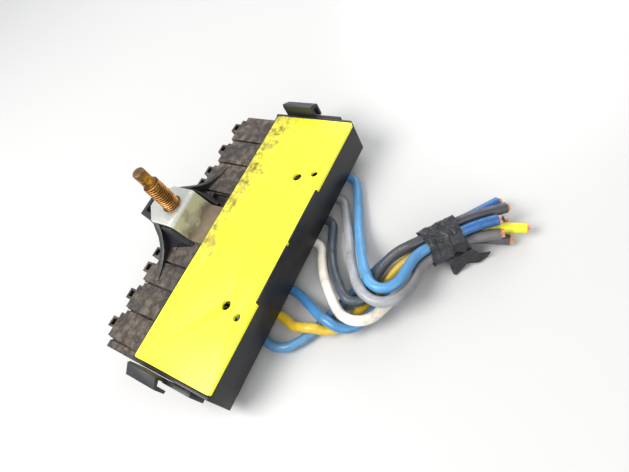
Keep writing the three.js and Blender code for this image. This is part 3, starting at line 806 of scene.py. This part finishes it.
class FUSEBOX_OT_latches(bpy.types.Operator):
    """Finishes the two end latches"""

    bl_idname = "fusebox.latches"
    bl_label = "Latches"

    def execute(self, context):
        material = black_moulding("latch black", 0.2)
        for node, body in LATCHES.items():
            piece = rounded_from(node, f"{node}_hook", 0.45)
            keep(painted(piece, material), body, "black_plastic", node)
        return {"FINISHED"}


# ---- bracket and stud ------------------------------------------------------------------------


class FUSEBOX_OT_bracket(bpy.types.Operator):
    """Finishes the bent input bracket"""

    bl_idname = "fusebox.bracket"
    bl_label = "Input bracket"

    def execute(self, context):
        piece = rounded_from("input_bracket", "input_bracket_strip", 0.4, 3, 40)
        painted(piece, plated_steel("stained plating and painted shade"))
        keep(piece, BOX, "plated_steel", "input_bracket")
        return {"FINISHED"}


def threaded_rod(name, x, y, low, high, crest, root):
    """A rod with a real helical thread, between two heights in millimetres."""
    pitch = settings().thread_pitch
    turns = math.ceil((high - low) / pitch) + 2
    outline = [(root, 0), (root, 0.10), (crest, 0.42), (crest, 0.55), (root, 0.88), (root, 1)]
    deselect()
    bpy.ops.mesh.primitive_circle_add(vertices=len(outline), radius=1)
    rod = named(name)
    for vertex, (radius, share) in zip(rod.data.vertices, outline):
        vertex.co = Vector((radius, 0, low + (share - 1) * pitch)) * MM
    bpy.ops.object.mode_set(mode="EDIT")
    mesh = bmesh.from_edit_mesh(rod.data)
    mesh.verts.ensure_lookup_table()
    closing = mesh.edges.get((mesh.verts[0], mesh.verts[len(outline) - 1]))
    bmesh.ops.delete(mesh, geom=[closing], context="EDGES")
    bmesh.update_edit_mesh(rod.data)
    bpy.ops.object.mode_set(mode="OBJECT")
    screw = rod.modifiers.new("thread", "SCREW")
    screw.angle = 2 * math.pi
    screw.screw_offset = pitch * MM
    screw.iterations = turns
    screw.steps = screw.render_steps = 28
    screw.use_merge_vertices = True
    screw.merge_threshold = 0.00001
    bpy.ops.object.modifier_apply(modifier=screw.name)
    bpy.ops.object.mode_set(mode="EDIT")
    bpy.ops.mesh.select_all(action="SELECT")
    bpy.ops.mesh.remove_doubles(threshold=0.00001)
    for height, side in ((low, -1), (high, 1)):
        bpy.ops.mesh.select_all(action="SELECT")
        bpy.ops.mesh.bisect(
            plane_co=(0, 0, height * MM), plane_no=(0, 0, side), use_fill=True, clear_outer=True,
        )
    bpy.ops.mesh.select_all(action="SELECT")
    bpy.ops.mesh.normals_make_consistent(inside=False)
    bpy.ops.object.mode_set(mode="OBJECT")
    rod.data.transform(Matrix.Translation((x * MM, y * MM, 0)))
    return smooth(rod, 30)


class FUSEBOX_OT_stud(bpy.types.Operator):
    """Turns the input stud: hex head, helical thread and narrower tip"""

    bl_idname = "fusebox.stud"
    bl_label = "Input stud"

    def execute(self, context):
        low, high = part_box("input_stud")
        x, y = (low.x + high.x) / 2 / MM, (low.y + high.y) / 2 / MM
        top = high.z / MM
        rod = threaded_rod(
            "input_stud_thread", x, y, STUD["foot"], top - 10.2, STUD["crest"], STUD["root"],
        )
        bpy.ops.mesh.primitive_cone_add(
            vertices=32, radius1=4.25 * MM, radius2=3.45 * MM, depth=1.4 * MM,
            location=(x * MM, y * MM, (top - 9.9) * MM),
        )
        neck = settle(named("stud_neck"))
        bpy.ops.mesh.primitive_cylinder_add(
            vertices=32, radius=STUD["tip"] * MM, depth=STUD["tip_length"] * MM,
            location=(x * MM, y * MM, (top - STUD["tip_length"] / 2) * MM),
        )
        tip = settle(named("stud_tip"))
        bpy.ops.mesh.primitive_cylinder_add(
            vertices=6, radius=STUD["head"] * MM, depth=5.9 * MM,
            location=(x * MM, y * MM, (low.z / MM + 3.0) * MM),
        )
        head = settle(named("stud_head"))
        for part, width in ((tip, 0.8), (head, 0.4)):
            take(part)
            bevel = part.modifiers.new("chamfer", "BEVEL")
            bevel.width = width * MM
            bevel.segments = 3
            bevel.limit_method = "ANGLE"
            bevel.angle_limit = math.radians(40)
            bpy.ops.object.modifier_apply(modifier=bevel.name)
            smooth(part)
        take(rod)
        for part in (neck, tip, head):
            part.select_set(True)
        bpy.ops.object.join()
        painted(rod, yellow_zinc("yellow passivation"))
        keep(rod, BOX, "yellow_zinc", "input_stud")
        return {"FINISHED"}


# ---- pieces under the lid --------------------------------------------------------------------


class FUSEBOX_OT_inner(bpy.types.Operator):
    """Finishes the busbar, terminals, fuses and nuts under the lid"""

    bl_idname = "fusebox.inner"
    bl_label = "Inner parts"

    def execute(self, context):
        tinned = plain_metal("tinned copper", linear(176, 160, 140), linear(206, 194, 176), 0.36)
        zinc = plain_metal("zinc plating", linear(170, 172, 176), linear(212, 214, 218), 0.32)
        fuse_finish = strip_fuse_finish("strip fuse")
        for name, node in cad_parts.items():
            if name.startswith(("outlet_terminal", "supply_busbar")):
                painted(node, tinned)
            elif "nut" in name or "rivet" in name:
                painted(node, zinc)
            elif name.startswith("strip_fuse"):
                painted(node, fuse_finish)
        return {"FINISHED"}


# ---- sidebar and run -------------------------------------------------------------------------

STEPS = (
    FUSEBOX_OT_stage,
    FUSEBOX_OT_cables,
    FUSEBOX_OT_tape,
    FUSEBOX_OT_housing,
    FUSEBOX_OT_lid,
    FUSEBOX_OT_carrier,
    FUSEBOX_OT_latches,
    FUSEBOX_OT_bracket,
    FUSEBOX_OT_stud,
    FUSEBOX_OT_inner,
)


class FUSEBOX_PT_sidebar(bpy.types.Panel):
    """Lists the sizes and the steps"""

    bl_label = "Fuse Box"
    bl_idname = "FUSEBOX_PT_sidebar"
    bl_space_type = "VIEW_3D"
    bl_region_type = "UI"
    bl_category = "Fuse Box"

    def draw(self, context):
        for name in FuseBoxSettings.__annotations__:
            self.layout.prop(context.scene.fuse_box, name)
        for step in STEPS:
            self.layout.operator(step.bl_idname)


CLASSES = (FuseBoxSettings, *STEPS, FUSEBOX_PT_sidebar)


def register():
    for cls in CLASSES:
        bpy.utils.register_class(cls)
    bpy.types.Scene.fuse_box = bpy.props.PointerProperty(type=FuseBoxSettings)


def unregister():
    del bpy.types.Scene.fuse_box
    for cls in reversed(CLASSES):
        bpy.utils.unregister_class(cls)


def main():
    register()
    for step in STEPS:
        deselect()
        group, name = step.bl_idname.split(".")
        getattr(getattr(bpy.ops, group), name)()


if __name__ == "__main__":
    main()
